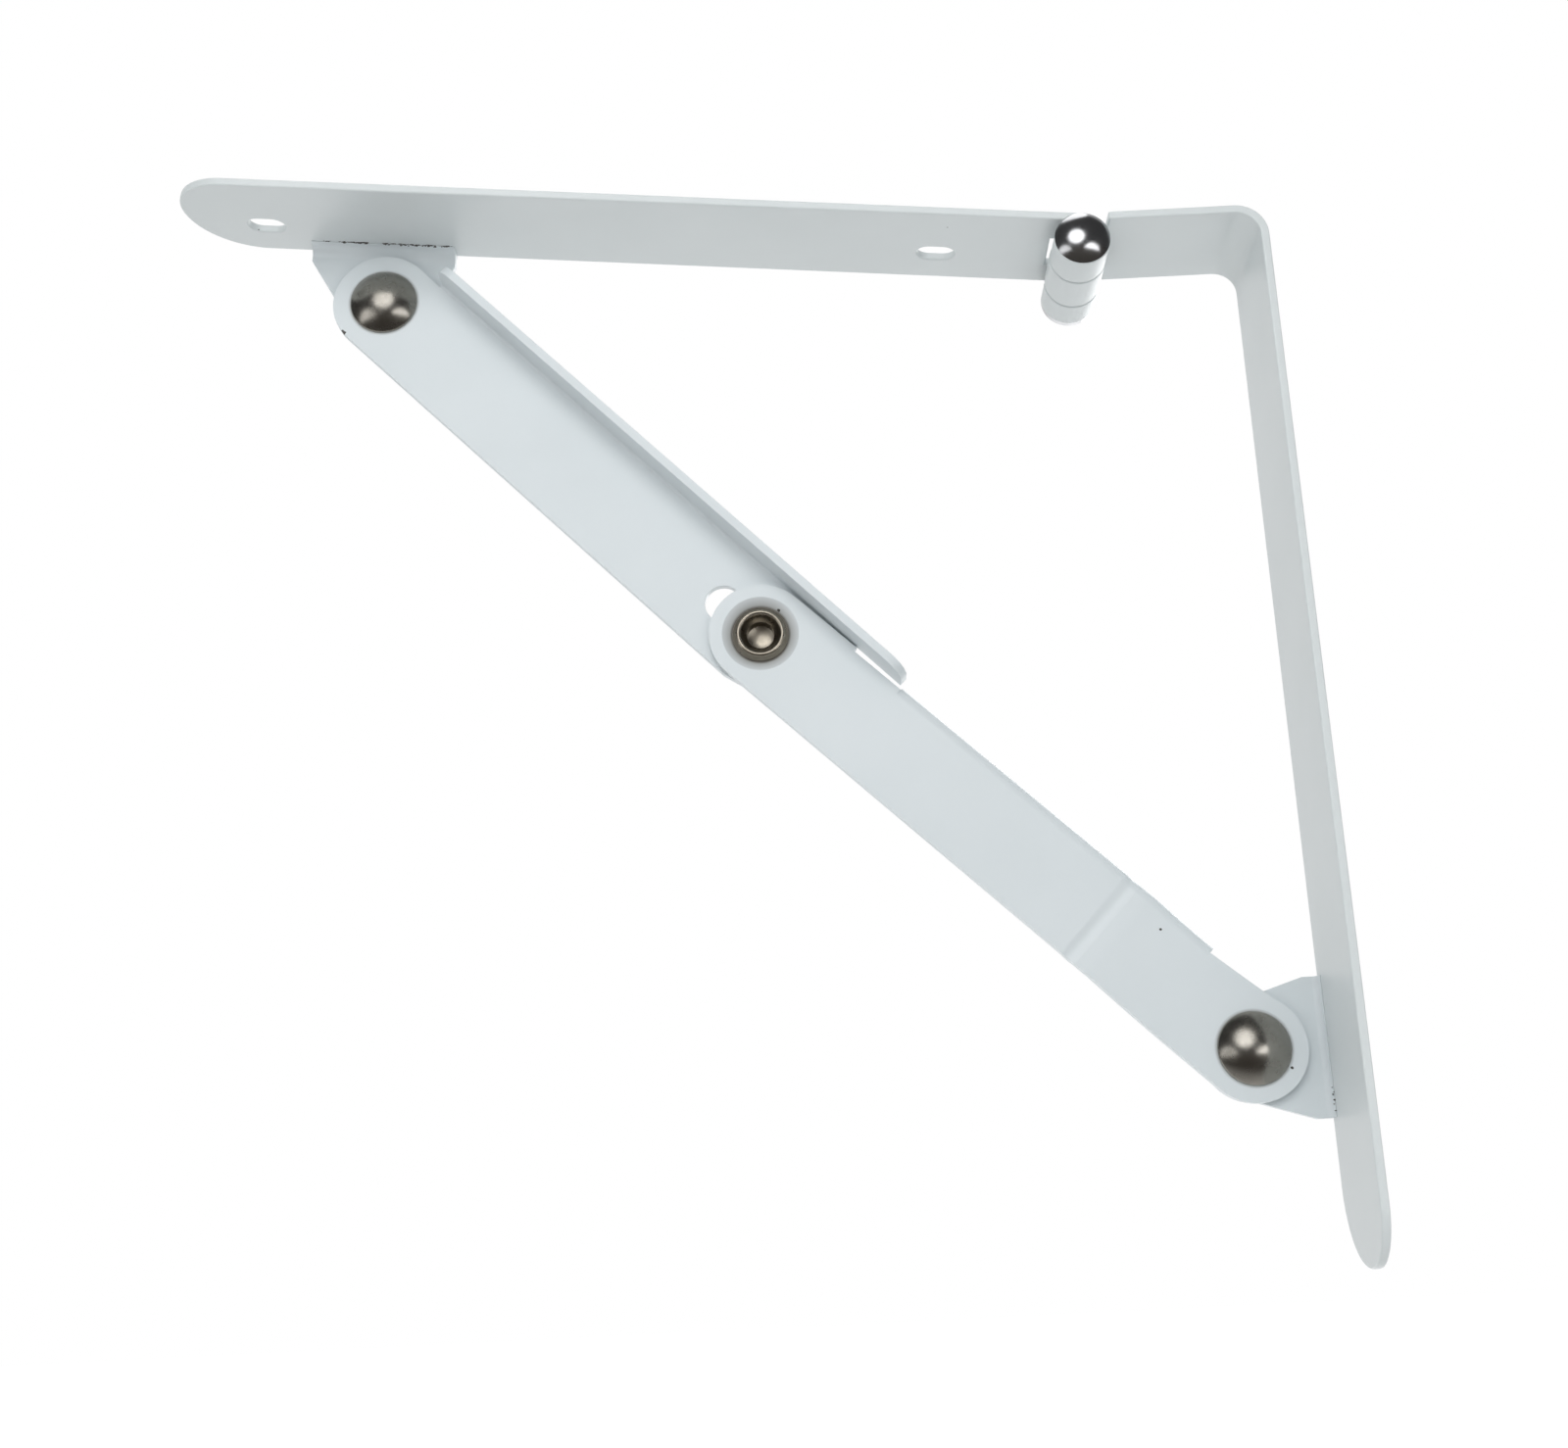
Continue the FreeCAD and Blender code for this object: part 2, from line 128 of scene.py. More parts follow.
def add(tree: bpy.types.NodeTree, kind: str, inputs: dict[Any, Any] | None = None,
        **settings: Any) -> bpy.types.Node:
    """Add a node with its settings, values and links.

    Args:
        tree: The node tree to add to.
        kind: The node's type name.
        inputs: Socket name or index to a value or to an output socket.
        settings: Attributes of the node.

    Returns:
        The new node.
    """
    node = tree.nodes.new(kind)
    for name, value in settings.items():
        setattr(node, name, value)
    for key, value in (inputs or {}).items():
        if isinstance(value, bpy.types.NodeSocket):
            tree.links.new(value, node.inputs[key])
        else:
            node.inputs[key].default_value = value
    return node


def reckon(tree: bpy.types.NodeTree, operation: str, first: Any,
           second: Any) -> bpy.types.NodeSocket:
    """Combine two numbers.

    Args:
        tree: The node tree to add to.
        operation: The math node's operation.
        first: The first number or socket.
        second: The second number or socket.

    Returns:
        The result.
    """
    return add(tree, "ShaderNodeMath", {0: first, 1: second}, operation=operation).outputs[0]


def blend(tree: bpy.types.NodeTree, share: Any, under: Any, over: Any,
          kind: str = "RGBA") -> bpy.types.NodeSocket:
    """Lay a colour or a number over another.

    Args:
        tree: The node tree to add to.
        share: How much of the second one shows, from none to all.
        under: The one below.
        over: The one on top.
        kind: The mix node's data type.

    Returns:
        The mixed colour or number.
    """
    return add(tree, "ShaderNodeMix", {"Factor": share, "A": under, "B": over},
               data_type=kind).outputs["Result"]


def remap(tree: bpy.types.NodeTree, value: Any, source: Span, target: Span) -> bpy.types.NodeSocket:
    """Carry a number from one span to another, held at the ends.

    Args:
        tree: The node tree to add to.
        value: The number's socket.
        source: The span that it comes from.
        target: The span that it goes to.

    Returns:
        The number in its new span.
    """
    return add(tree, "ShaderNodeMapRange", {
        "Value": value, "From Min": source[0], "From Max": source[1],
        "To Min": target[0], "To Max": target[1]}).outputs["Result"]


def noise(tree: bpy.types.NodeTree, place: bpy.types.NodeSocket, size_mm: float,
          detail: float) -> bpy.types.NodeSocket:
    """Give a cloudy pattern of a real size.

    Args:
        tree: The node tree to add to.
        place: The surface point.
        size_mm: The pattern's size in millimetres.
        detail: How many finer layers it has.

    Returns:
        The pattern's value, about a half on average.
    """
    return add(tree, "ShaderNodeTexNoise", {
        "Vector": place, "Scale": per_metre(size_mm), "Detail": detail}).outputs["Fac"]


def distance(tree: bpy.types.NodeTree, place: bpy.types.NodeSocket,
             centre: Triple) -> bpy.types.NodeSocket:
    """Give a surface point's distance from a point of the frame.

    Args:
        tree: The node tree to add to.
        place: The surface point.
        centre: The frame's point, in millimetres.

    Returns:
        The distance in metres.
    """
    return add(tree, "ShaderNodeVectorMath", {0: place, 1: Vector(centre) * MM},
               operation="DISTANCE").outputs["Value"]


def new_material(name: str) -> tuple[bpy.types.Material, bpy.types.NodeTree, bpy.types.NodeSocket]:
    """Make an empty node material.

    Args:
        name: The material's name.

    Returns:
        The material, its node tree and the surface point in the frame.
    """
    material = bpy.data.materials.new(name)
    material.use_nodes = True
    tree = material.node_tree
    tree.nodes.clear()
    return material, tree, add(tree, "ShaderNodeTexCoord").outputs["Object"]


def principled(tree: bpy.types.NodeTree, inputs: dict[str, Any]) -> None:
    """Give a material its surface.

    Args:
        tree: The material's node tree.
        inputs: The principled shader's values and links.
    """
    shader = add(tree, "ShaderNodeBsdfPrincipled", inputs)
    add(tree, "ShaderNodeOutputMaterial", {"Surface": shader.outputs["BSDF"]})


@dataclass(frozen=True)
class Chip:
    """A spot where the paint is chipped to bare steel, in millimetres of the frame."""

    place: Triple
    radius: float


@dataclass(frozen=True)
class PaintedShadeRing:
    """Painted grey shade round a rivet, whole to the inner radius and gone at the outer, in
    millimetres.
    """

    place: Triple
    inner: float
    outer: float
    grey: str = "#9b9e9d"


@dataclass(frozen=True)
class PressLine:
    """A shallow groove across a sheet, or a swelling if its depth is negative, in millimetres."""

    place: Triple
    along: Triple
    fall: float
    rise: float
    depth: float
    cuts: int = 12
    on_plane_m: float = 1e-7
    merge: float = 0.03

    def height(self, run: float) -> float:
        """Give the groove's height over the sheet.

        Args:
            run: The distance past the groove's line.

        Returns:
            The height, which falls over the first stretch and rises again over the second.
        """
        fall = min(max(run / self.fall + 0.5, 0.0), 1.0)
        rise = min(max((run - self.fall / 2) / self.rise, 0.0), 1.0)
        return self.depth * (rise * rise * (3 - 2 * rise) - fall * fall * (3 - 2 * fall))

    def press(self, form: bmesh.types.BMesh) -> None:
        """Cut a sheet across the groove and press it in, so that both faces keep their distance.

        Args:
            form: The sheet, in metres.
        """
        start, along = Vector(self.place) * MM, Vector(self.along)
        for k in range(self.cuts + 1):
            reach = (k / self.cuts * (self.fall + self.rise) - self.fall / 2) * MM
            bmesh.ops.bisect_plane(
                form, geom=form.verts[:] + form.edges[:] + form.faces[:], dist=self.on_plane_m,
                plane_co=start + along * reach, plane_no=along)
        bmesh.ops.remove_doubles(form, verts=form.verts, dist=self.merge * MM)
        for vert in form.verts:
            vert.co.y -= self.height((vert.co - start).dot(along) / MM) * MM


@dataclass(frozen=True)
class Rim:
    """A crisp round edge of a pressed dish about an axis parallel to Y, in millimetres."""

    place: Triple
    radius: float
    slack: float = 0.02

    def crease(self, form: bmesh.types.BMesh) -> None:
        """Mark the sheet's edges on the rim as sharp.

        Args:
            form: The sheet, in metres.
        """
        axis_x, _, axis_z = Vector(self.place) * MM
        radius, slack = self.radius * MM, self.slack * MM
        on_rim = {vert for vert in form.verts
                  if abs(math.hypot(vert.co.x - axis_x, vert.co.z - axis_z) - radius) < slack}
        for edge in form.edges:
            if on_rim.issuperset(edge.verts):
                edge.smooth = False


@dataclass(frozen=True)
class Marks:
    """What use and the press have left on one painted piece, and the shade painted round its
    rivets.
    """

    chips: tuple[Chip, ...] = ()
    shade_rings: tuple[PaintedShadeRing, ...] = ()
    press: tuple[PressLine, ...] = ()
    rims: tuple[Rim, ...] = ()


@dataclass(frozen=True)
class PowderCoat:
    """Baked cool-white powder coat with a soft gloss, a faint orange peel and a few dust nibs."""

    white: str = "#d8dfe2"
    shade: str = "#d0d8db"
    steel: str = "#3a3733"
    nib: str = "#8d908f"
    mottle_mm: float = 28.0
    nib_apart_mm: float = 13.0
    nib_mm: float = 0.2
    nib_share: float = 0.5
    ragged_mm: float = 0.7
    peel_mm: float = 1.6
    peel_rise_mm: float = 0.006
    roughness: Span = (0.30, 0.39)
    ior: float = 1.5

    def nibs(self, tree: bpy.types.NodeTree, place: bpy.types.NodeSocket) -> bpy.types.NodeSocket:
        """Give the mask of the dust nibs: one small dot in a share of the cells.

        Args:
            tree: The material's node tree.
            place: The surface point.

        Returns:
            One on a nib and nothing elsewhere.
        """
        cells = add(tree, "ShaderNodeTexVoronoi", {
            "Vector": place, "Scale": per_metre(self.nib_apart_mm)}).outputs
        near = reckon(tree, "LESS_THAN", cells["Distance"], self.nib_mm / self.nib_apart_mm)
        draw = add(tree, "ShaderNodeSeparateColor", {"Color": cells["Color"]}).outputs["Red"]
        chosen = reckon(tree, "GREATER_THAN", draw, 1.0 - self.nib_share)
        return reckon(tree, "MULTIPLY", near, chosen)

    def worn_and_shaded(self, tree: bpy.types.NodeTree, place: bpy.types.NodeSocket, marks: Marks,
             paint: bpy.types.NodeSocket) -> bpy.types.NodeSocket:
        """Lay the painted shade rings and then the chips over the paint.

        Args:
            tree: The material's node tree.
            place: The surface point.
            marks: The piece's painted shade rings and its chips.
            paint: The clean paint's colour.

        Returns:
            The paint's colour with its painted shade and chips.
        """
        # Painted shade: each ring greys the paint round a rivet and over the knee's dish.
        for shade_ring in marks.shade_rings:
            fade = remap(tree, distance(tree, place, shade_ring.place),
                         (shade_ring.inner * MM, shade_ring.outer * MM), (1.0, 0.0))
            paint = blend(tree, fade, paint, linear(shade_ring.grey))
        ragged = noise(tree, place, self.ragged_mm, 2.0)
        for chip in marks.chips:
            reach = reckon(tree, "MULTIPLY", ragged, chip.radius * MM / NOISE_MEAN)
            bare = reckon(tree, "LESS_THAN", distance(tree, place, chip.place), reach)
            paint = blend(tree, bare, paint, linear(self.steel))
        return paint

    def material(self, name: str, marks: Marks) -> bpy.types.Material:
        """Make the coat for one piece.

        Args:
            name: The material's name.
            marks: This piece's chips and the shade painted round its rivets.

        Returns:
            The material.
        """
        material, tree, place = new_material(name)
        mottle = noise(tree, place, self.mottle_mm, 3.0)
        colour = blend(tree, mottle, linear(self.white), linear(self.shade))
        dusty = blend(tree, self.nibs(tree, place), colour, linear(self.nib))
        peel = noise(tree, place, self.peel_mm, 1.0)
        bump = add(tree, "ShaderNodeBump", {
            "Height": reckon(tree, "MULTIPLY", peel, self.peel_rise_mm * MM),
            "Distance": 1.0, "Strength": 1.0})
        principled(tree, {
            # Base colour: the coat with its painted shade rings and its chips.
            "Base Color": self.worn_and_shaded(tree, place, marks, dusty),
            "Roughness": remap(tree, mottle, UNIT, self.roughness),
            "Normal": bump.outputs["Normal"], "IOR": self.ior})
        return material


@dataclass(frozen=True)
class NickelPlate:
    """Nickel plate on steel: a warm grey metal with faint smears that soften its reflections."""

    plate: str = "#a9a69f"
    smear: str = "#8d8981"
    smear_mm: float = 3.0
    smear_span: Span = (0.35, 0.75)
    roughness: Span = (0.22, 0.31)

    def material(self, name: str) -> bpy.types.Material:
        """Make the plate's material.

        Args:
            name: The material's name.

        Returns:
            The material.
        """
        material, tree, place = new_material(name)
        smear = noise(tree, place, self.smear_mm, 4.0)
        principled(tree, {
            "Base Color": blend(tree, smear, linear(self.plate), linear(self.smear)),
            "Roughness": remap(tree, smear, self.smear_span, self.roughness), "Metallic": 1.0})
        return material


@dataclass(frozen=True)
class WeldScale:
    """Weld scale: nearly black, dull and grainy where the paint missed the seam."""

    scale: str = "#34322f"
    ash: str = "#6b6a68"
    grain_mm: float = 0.4
    roughness: float = 0.7

    def material(self, name: str) -> bpy.types.Material:
        """Make the scale's material.

        Args:
            name: The material's name.

        Returns:
            The material.
        """
        material, tree, place = new_material(name)
        grain = noise(tree, place, self.grain_mm, 3.0)
        principled(tree, {
            "Base Color": blend(tree, grain, linear(self.scale), linear(self.ash)),
            "Roughness": self.roughness})
        return material


def new_piece(name: str, mesh: bpy.types.Mesh, body: Body,
              material: bpy.types.Material) -> bpy.types.Object:
    """Put a finished mesh into the scene and ride it on a body.

    Args:
        name: The piece's name.
        mesh: Its mesh, in place in the frame.
        body: The body it moves with.
        material: Its material.

    Returns:
        The new object.
    """
    piece = bpy.data.objects.new(name, mesh)
    bpy.context.scene.collection.objects.link(piece)
    if not mesh.materials:
        mesh.materials.append(material)
    else:
        mesh.materials[0] = material
    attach(piece, body.value)
    LOG.info("%s: %d faces on %s", name, len(mesh.polygons), body.value)
    return piece


def baked(piece: bpy.types.Object) -> bpy.types.Mesh:
    """Evaluate an object's modifiers into a plain mesh and remove the object.

    Args:
        piece: The object with its modifiers.

    Returns:
        The finished mesh.
    """
    bpy.context.view_layer.update()
    graph = bpy.context.evaluated_depsgraph_get()
    mesh = bpy.data.meshes.new_from_object(piece.evaluated_get(graph), depsgraph=graph)
    bpy.data.objects.remove(piece)
    return mesh


@dataclass
class PressedSheet:
    """A pressed steel piece: its CAD form with press marks and the rolled edges of its paint."""

    node: str
    body: Body
    edge_mm: float = 0.45
    edge_spans: int = 3
    sharp_deg: float = 32.0
    flat_deg: float = 0.4
    merge_mm: float = 0.001
    marks: Marks = Marks()
    coat: PowderCoat = PowderCoat()

    def pressed(self, source: bpy.types.Object) -> bpy.types.Mesh:
        """Copy the CAD form, merge its triangles and press its marks in.

        Args:
            source: The CAD node's object.

        Returns:
            The pressed mesh, with its edges still square.
        """
        mesh = source.data.copy()
        form = bmesh.new()
        form.from_mesh(mesh)
        bmesh.ops.remove_doubles(form, verts=form.verts, dist=self.merge_mm * MM)
        bmesh.ops.dissolve_limit(
            form, angle_limit=math.radians(self.flat_deg), verts=form.verts, edges=form.edges,
            use_dissolve_boundaries=False, delimit={"NORMAL"})
        for line in self.marks.press:
            line.press(form)
        for rim in self.marks.rims:
            rim.crease(form)
        form.to_mesh(mesh)
        form.free()
        return mesh

    def mesh(self, source: bpy.types.Object) -> bpy.types.Mesh:
        """Press the CAD form and round its edges.

        Args:
            source: The CAD node's object.

        Returns:
            The rounded mesh.
        """
        mesh = self.pressed(source)
        holder = bpy.data.objects.new(f"{self.node}_work", mesh)
        bpy.context.scene.collection.objects.link(holder)
        bevel = holder.modifiers.new("rolled_edge", "BEVEL")
        bevel.width = self.edge_mm * MM
        bevel.segments = self.edge_spans
        bevel.limit_method = "ANGLE"
        bevel.angle_limit = math.radians(self.sharp_deg)
        mesh.shade_smooth()
        even = holder.modifiers.new("even_shading", "WEIGHTED_NORMAL")
        even.keep_sharp = True
        return baked(holder)

    def build(self, nodes: dict[str, bpy.types.Object]) -> None:
        """Make the piece, dress it and let it stand for its CAD node.

        Args:
            nodes: The CAD nodes by name.
        """
        piece = new_piece(f"{self.node}_coated", self.mesh(nodes[self.node]), self.body,
                          self.coat.material(f"powder_coat_{self.node}", self.marks))
        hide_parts(self.node)


def arc(start: Span, centre: Span, turn_deg: float, steps: int) -> Profile:
    """Give points along an arc of a profile.

    Args:
        start: The first (radius, depth) point.
        centre: The arc's centre.
        turn_deg: How far it turns, in degrees.
        steps: How many spans it has.

    Returns:
        The points from the start to the end, both included.
    """
    dx, dy = start[0] - centre[0], start[1] - centre[1]
    points = []
    for k in range(steps + 1):
        turn = math.radians(turn_deg * k / steps)
        points.append((centre[0] + dx * math.cos(turn) - dy * math.sin(turn),
                       centre[1] + dx * math.sin(turn) + dy * math.cos(turn)))
    return points


def dome(radius: float, rise: float, seat: float, steps: int = 28) -> Profile:
    """Give the profile of a spherical cap that faces the front, from its pole to its edge.

    Args:
        radius: The cap's edge radius.
        rise: Its height.
        seat: The depth of its flat side.
        steps: How many spans it has.

    Returns:
        Radius and depth pairs from the pole outwards.
    """
    ball = (radius ** 2 + rise ** 2) / (2 * rise)
    reach = math.asin(radius / ball)
    points = [(0.0, seat - rise)]
    for k in range(1, steps + 1):
        angle = reach * k / steps
        points.append((ball * math.sin(angle), seat - (rise - ball + ball * math.cos(angle))))
    return points


@dataclass
class TurnedPiece(ABC):
    """A turned piece along Y: its profile is a list of (radius, depth) in millimetres."""

    node: str
    body: Body
    segments: int = 96
    crease_deg: float = 40.0

    @abstractmethod
    def profile(self) -> Profile:
        """Give the radius and depth pairs from the piece's first pole to its last."""

    def lathe(self, x: float, z: float) -> bpy.types.Mesh:
        """Turn the profile about an axis parallel to Y.

        Args:
            x: The axis's X in metres.
            z: The axis's Z in metres.

        Returns:
            The closed mesh.
        """
        form = bmesh.new()
        rings = []
        for radius, depth in self.profile():
            turns = 1 if radius == 0 else self.segments
            angles = [2 * math.pi * k / turns for k in range(turns)]
            rings.append([
                form.verts.new((x + radius * MM * math.cos(a), depth * MM,
                                z + radius * MM * math.sin(a)))
                for a in angles])
        for first, second in zip(rings, rings[1:]):
            for k in range(self.segments):
                corners = [first[k % len(first)], first[(k + 1) % len(first)],
                           second[(k + 1) % len(second)], second[k % len(second)]]
                form.faces.new(list(dict.fromkeys(corners)))
        bmesh.ops.recalc_face_normals(form, faces=form.faces)
        mesh = bpy.data.meshes.new(self.node)
        form.to_mesh(mesh)
        form.free()
        mesh.shade_smooth()
        mesh.set_sharp_from_angle(angle=math.radians(self.crease_deg))
        return mesh

    def build(self, plate: NickelPlate) -> None:
        """Turn the piece on its CAD node's axis, dress it and let it stand for the node.

        Args:
            plate: The finish.
        """
        low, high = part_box(self.node)
        mesh = self.lathe((low[0] + high[0]) / 2, (low[2] + high[2]) / 2)
        piece = new_piece(f"{self.node}_plated", mesh, self.body,
                          plate.material(f"nickel_{self.node}"))
        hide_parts(self.node)


@dataclass
class Rivet(TurnedPiece, ABC):
    """A rivet with a flat rear head."""

    shank: float = 4.0
    tail: float = 1.6
    tail_radius: float = 6.5
    tail_edge: float = 0.5

    def rear_head(self, back: float) -> Profile:
        """Give the profile from the shank's end, over the rear head, to the rear pole.

        Args:
            back: The rear head's depth, in millimetres.

        Returns:
            Radius and depth pairs in millimetres.
        """
        rear = back - self.tail
        return [(self.shank, rear), (self.tail_radius, rear),
                (self.tail_radius, back - self.tail_edge),
                (self.tail_radius - self.tail_edge, back), (0.0, back)]


@dataclass
class DomeRivet(Rivet):
    """A dome-headed pivot rivet."""

    head: float = 3.6
    edge: float = 0.4
    edge_round: float = 0.05
    seat_round: float = 0.1

    def profile(self) -> Profile:
        """Give the rivet's profile from its crown to its rear head."""
        low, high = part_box(self.node)
        radius = (high[0] - low[0]) / MM / 2
        seat = low[1] / MM + self.head
        crown = dome(radius - self.edge_round, self.head - self.edge, seat - self.edge)
        collar = [(radius, seat - self.edge / 2), (radius - self.seat_round, seat),
                  (self.shank, seat)]
        return crown + collar + self.rear_head(high[1] / MM)


@dataclass
class KneeRivet(Rivet):
    """The hollow knee rivet: a rolled rim round a flared bore with a pointed floor."""

    shank: float = 4.2
    ring: float = 5.1
    tube: float = 0.7
    rim_spans: int = 18
    skirt: float = 6.4
    skirt_edge: float = 0.3
    height: float = 1.7
    bore: float = 3.2
    taper: float = 2.0
    deep: float = 3.0
    point: float = 1.2

    def profile(self) -> Profile:
        """Give the rivet's profile from its pointed floor, over its rim, to its rear head."""
        low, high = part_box(self.node)
        front = low[1] / MM
        floor, foot = front + self.taper + self.deep, front + self.height
        hollow = [(0.0, floor + self.point), (self.bore, floor), (self.bore, front + self.taper)]
        rim = arc((self.ring - self.tube, front + self.tube), (self.ring, front + self.tube),
                  HALF_TURN_DEG, self.rim_spans)
        collar = [(self.skirt, foot - self.skirt_edge), (self.skirt, foot), (self.shank, foot)]
        return hollow + rim + collar + self.rear_head(high[1] / MM)


@dataclass
class HingePin(TurnedPiece):
    """A half of the hinge pin: the near one has a domed head, the far one a flat riveted head."""

    front: bool = True
    head: float = 2.6
    edge: float = 0.5
    shank: float = 4.55

    def profile(self) -> Profile:
        """Give the pin's profile from its head to its cut end."""
        low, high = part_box(self.node)
        radius = (high[0] - low[0]) / MM / 2
        near, far = low[1] / MM, high[1] / MM
        if self.front:
            seat = near + self.head
            crown = dome(radius, self.head, seat)
            return crown + [(self.shank, seat), (self.shank, far), (0.0, far)]
        seat = far - self.head
        return [(0.0, far), (radius - self.edge, far), (radius, far - self.edge), (radius, seat),
                (self.shank, seat), (self.shank, near), (0.0, near)]


@dataclass
class WeldSeam:
    """A row of scale beads along the front edge of a welded lug's foot."""

    name: str
    body: Body
    start: Vector
    end: Vector
    count: int
    bead_mm: float
    share: float
    seed: int
    gap_mm: float = 5.0
    stray_mm: float = 0.28
    bead_cuts: int = 2
    least: Triple = (0.4, 0.3, 0.3)
    most: Triple = (1.6, 0.7, 0.9)

    def tree(self, material: bpy.types.Material) -> bpy.types.NodeTree:
        """Build the node tree that lays the beads.

        Args:
            material: The beads' material.

        Returns:
            The geometry node tree, with inputs for its sizes.
        """
        tree = bpy.data.node_groups.new(f"{self.name}_beads", "GeometryNodeTree")
        for label, kind in (
                ("Start", "NodeSocketVector"), ("End", "NodeSocketVector"),
                ("Count", "NodeSocketInt"), ("Bead", "NodeSocketFloat"),
                ("Share", "NodeSocketFloat"), ("Seed", "NodeSocketInt")):
            tree.interface.new_socket(label, in_out="INPUT", socket_type=kind)
        tree.interface.new_socket("Geometry", in_out="OUTPUT", socket_type="NodeSocketGeometry")
        given = add(tree, "NodeGroupInput").outputs
        line = add(tree, "GeometryNodeMeshLine", {
            "Count": given["Count"], "Start Location": given["Start"], "Offset": given["End"]},
                   mode="END_POINTS")
        bead = add(tree, "GeometryNodeMeshIcoSphere", {
            "Radius": given["Bead"], "Subdivisions": self.bead_cuts})
        stretch = add(tree, "FunctionNodeRandomValue", {
            "Min": self.least, "Max": self.most, "Seed": given["Seed"]}, data_type="FLOAT_VECTOR")
        place = add(tree, "GeometryNodeInputPosition").outputs["Position"]
        spread = add(tree, "ShaderNodeTexNoise", {
            "Vector": place, "W": given["Seed"], "Scale": per_metre(self.gap_mm), "Detail": 3.0},
                     noise_dimensions="4D").outputs["Fac"]
        stray = add(tree, "FunctionNodeRandomValue", {
            "Min": [-self.stray_mm * MM] * 3, "Max": [self.stray_mm * MM] * 3,
            "Seed": given["Seed"]}, data_type="FLOAT_VECTOR")
        points = add(tree, "GeometryNodeSetPosition", {
            "Geometry": line.outputs["Mesh"], "Offset": stray.outputs["Value"]})
        laid = add(tree, "GeometryNodeInstanceOnPoints", {
            "Points": points.outputs["Geometry"], "Instance": bead.outputs["Mesh"],
            "Selection": reckon(tree, "LESS_THAN", spread, given["Share"]),
            "Scale": stretch.outputs["Value"]})
        real = add(tree, "GeometryNodeRealizeInstances", {"Geometry": laid.outputs["Instances"]})
        dressed = add(tree, "GeometryNodeSetMaterial", {
            "Geometry": real.outputs["Geometry"], "Material": material})
        add(tree, "NodeGroupOutput", {"Geometry": dressed.outputs["Geometry"]})
        return tree

    def build(self, scale: WeldScale) -> None:
        """Lay the beads and ride them on their body.

        Args:
            scale: The finish.
        """
        material = scale.material(f"weld_scale_{self.name}")
        tree = self.tree(material)
        holder = bpy.data.objects.new(f"{self.name}_work", bpy.data.meshes.new(self.name))
        bpy.context.scene.collection.objects.link(holder)
        modifier = holder.modifiers.new("beads", "NODES")
        modifier.node_group = tree
        values = {"Start": self.start, "End": self.end, "Count": self.count,
                  "Bead": self.bead_mm * MM, "Share": self.share, "Seed": self.seed}
        for item in tree.interface.items_tree:
            if item.in_out == "INPUT":
                modifier[item.identifier] = values[item.name]
        new_piece(self.name, baked(holder), self.body, material)


@dataclass
class PhotoCamera:
    """The camera at the photograph's viewing angle, from a fit to the strips' edges."""

    focal_px: float = 2124.0
    turn: Vector = field(default_factory=lambda: Vector((-0.2768, 0.0102, -0.0492)))
    offset_mm: Vector = field(default_factory=lambda: Vector((68.674, -111.8339, 478.798)))

    def build(self) -> None:
        """Make the camera and set it as the scene's own."""
        level = Matrix(((1, 0, 0), (0, 0, -1), (0, 1, 0)))
        view = Matrix.Rotation(self.turn.length, 3, self.turn.normalized()) @ level
        centre = -(view.transposed() @ self.offset_mm) * MM
        right, down, ahead = view
        pose = Matrix((right, -down, -ahead)).transposed().to_4x4()
        pose.translation = centre
        data = bpy.data.cameras.new("photo_camera")
        data.sensor_fit = "HORIZONTAL"
        data.sensor_width = SENSOR_MM
        data.lens = self.focal_px / PHOTO_WIDTH_PX * SENSOR_MM
        data.clip_start = CLIP_START_M
        camera = bpy.data.objects.new("photo_camera", data)
        camera.matrix_world = pose
        bpy.context.scene.collection.objects.link(camera)
        bpy.context.scene.camera = camera


@dataclass(frozen=True)
class Softbox:
    """A round studio softbox that faces the bracket: its place and size in metres, its watts."""

    name: str
    place: Triple
    size: float
    power: float


